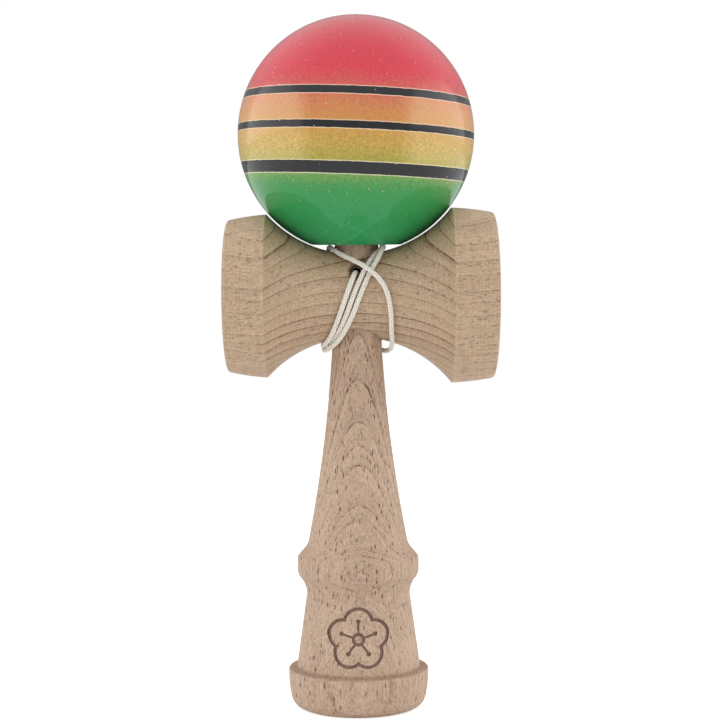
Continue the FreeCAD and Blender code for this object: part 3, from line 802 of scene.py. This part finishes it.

# %% [markdown]
# The string is undyed cotton: warm white, a little soiled in places, with painted shade in its
# seams.
# Fine noise on Object coordinates gives the fibres, and the shader's sheen the soft rim of fuzz.

# %% String cotton
cotton, tree, shader, point = new_material("braided_cotton")
threads = noise(tree, point, scale=7.0, detail=3.0)
soil = noise(tree, point, scale=0.35, detail=2.0)
surface = mixed(tree, threads.ramp(0.40, 0.70), rgb(253, 247, 236), rgb(234, 228, 216))
surface = mixed(tree, soil.ramp(0.5, 0.8) * 0.25, surface, rgb(222, 210, 188))
outward_read = tree.nodes.new("ShaderNodeAttribute")
outward_read.attribute_name = "outward"
# Painted shade: the seams between the strands turn grey.
seam_painted_shade = Wire(tree, outward_read.outputs["Fac"]).ramp(0.75, 0.25)
surface = mixed(tree, seam_painted_shade * 0.45, surface, rgb(150, 142, 132))
plug(tree, shader.inputs["Base Color"], surface)
shader.inputs["Roughness"].default_value = 0.85
shader.inputs["Specular IOR Level"].default_value = 0.2
shader.inputs["Sheen Weight"].default_value = 0.35
shader.inputs["Sheen Roughness"].default_value = 0.5
bump(tree, shader, threads * 0.05)
print("cotton:", len(tree.nodes), "nodes")

# %% [markdown]
# The bead inside the ball is a small turned piece of the same beech, a little darker.

# %% Bead wood
bead_wood, tree, shader, point = new_material("bead_beech")
x, y, z = split(tree, point)
wood = use_group(tree, beech, Point=join(tree, x - 4.0, y - 30.0, z), Ring_Spacing=0.9,
                 Ring_Strength=0.5, Fleck_Strength=0.5, Fleck_Width=0.7, Fleck_Length=2.0,
                 Pale=rgb(200, 162, 124), Dark=rgb(112, 76, 50))
plug(tree, shader.inputs["Base Color"], wood["Color"])
plug(tree, shader.inputs["Roughness"], wood["Roughness"])
bump(tree, shader, wood["Height"])
print("bead wood:", len(tree.nodes), "nodes")

# %% [markdown]
# A CAD node keeps its mesh. Its look changes by putting a new material in its object's slots.

# %% Dress the pieces


def dress(piece, material):
    """Put one material in every slot of a piece."""
    if not piece.material_slots:
        piece.data.materials.append(material)
    for place in piece.material_slots:
        place.material = material


dress(frame["nodes"]["ken"], handle_wood)
dress(frame["nodes"]["sarado"], cross_wood)
dress(frame["nodes"]["tama"], ball_paint)
dress(frame["nodes"]["bead"], bead_wood)
for piece in (braid, handle_knot, crown_knot):
    dress(piece, cotton)
print("dressed 7 pieces")

# %% [markdown]
# ## Floor and light
#
# The toy stands on a plain, nearly white floor. The floor shines a little by itself, and more so
# where the camera looks at it, so that it melts into the white behind it.

# %% Floor
FLOOR_SIZE = 6.0
floor_mesh = bpy.data.meshes.new("floor")
half = FLOOR_SIZE / 2
floor_mesh.from_pydata([(-half, -half, 0), (half, -half, 0), (half, half, 0), (-half, half, 0)],
                       [], [(0, 1, 2, 3)])
floor = bpy.data.objects.new("floor", floor_mesh)
floor.location.z = cad_box[0].z - 0.02 * MM
scene.collection.objects.link(floor)
floor_material, tree, shader, _ = new_material("floor_paper")
shader.inputs["Base Color"].default_value = (0.80, 0.80, 0.80, 1.0)
shader.inputs["Roughness"].default_value = 0.9
shader.inputs["Emission Color"].default_value = (1.0, 1.0, 1.0, 1.0)
rays = tree.nodes.new("ShaderNodeLightPath")
plug(tree, shader.inputs["Emission Strength"],
     Wire(tree, rays.outputs["Is Camera Ray"]) * 0.45 + 0.12)
floor_mesh.materials.append(floor_material)
print("floor %.0f m wide" % FLOOR_SIZE)

# %% [markdown]
# The light is soft and comes from all round, most of it from above and from both sides. The
# world gives nearly all of it: a plain white room, dimmer behind the toy, with a window in each
# side wall that only reflections see. The camera itself sees plain white where the room shows.
# One broad, dim panel hangs above and behind.

# %% Lights


def panel(name, place, target, width, height, radiance):
    """A soft panel of light of the given size that shines with an even radiance."""
    data = bpy.data.lights.new(name, "AREA")
    data.shape = "RECTANGLE"
    data.size = width
    data.size_y = height
    data.energy = radiance * math.pi * width * height
    light = bpy.data.objects.new(name, data)
    light.location = place
    light.rotation_euler = (Vector(target) - Vector(place)).to_track_quat("-Z", "Y").to_euler()
    scene.collection.objects.link(light)


panel("ceiling_panel", (0, 0.36, 0.66), (0, 0.30, 0), 1.4, 0.72, 0.14)

world = bpy.data.worlds.new("studio")
scene.world = world
world.use_nodes = True
tree = world.node_tree
background = tree.nodes["Background"]
rays = tree.nodes.new("ShaderNodeLightPath")
seen = Wire(tree, rays.outputs["Is Camera Ray"])
where = tree.nodes.new("ShaderNodeTexCoord")
east, north, up = split(tree, Wire(tree, where.outputs["Generated"]))
sideways = east.math("ABSOLUTE")
reflected = Wire(tree, rays.outputs["Is Glossy Ray"])
walls = sideways.ramp(0.66, 0.78) * 0.50 + sideways.ramp(0.15, 0.9) * 0.34
windows = sideways.ramp(0.74, 0.82) * up.ramp(-0.05, 0.1) * up.ramp(0.68, 0.45) * 1.1
room = up.ramp(0.0, 0.9) * 0.60 - north.ramp(0.3, 0.9) * 0.28 + 0.50
room = room + walls + reflected * (windows - walls)
plug(tree, background.inputs["Strength"], room + seen * room.flipped())
background.inputs["Color"].default_value = (1.0, 1.0, 1.0, 1.0)
scene.view_settings.view_transform = "Standard"
print("lights: 1 panel and the world")
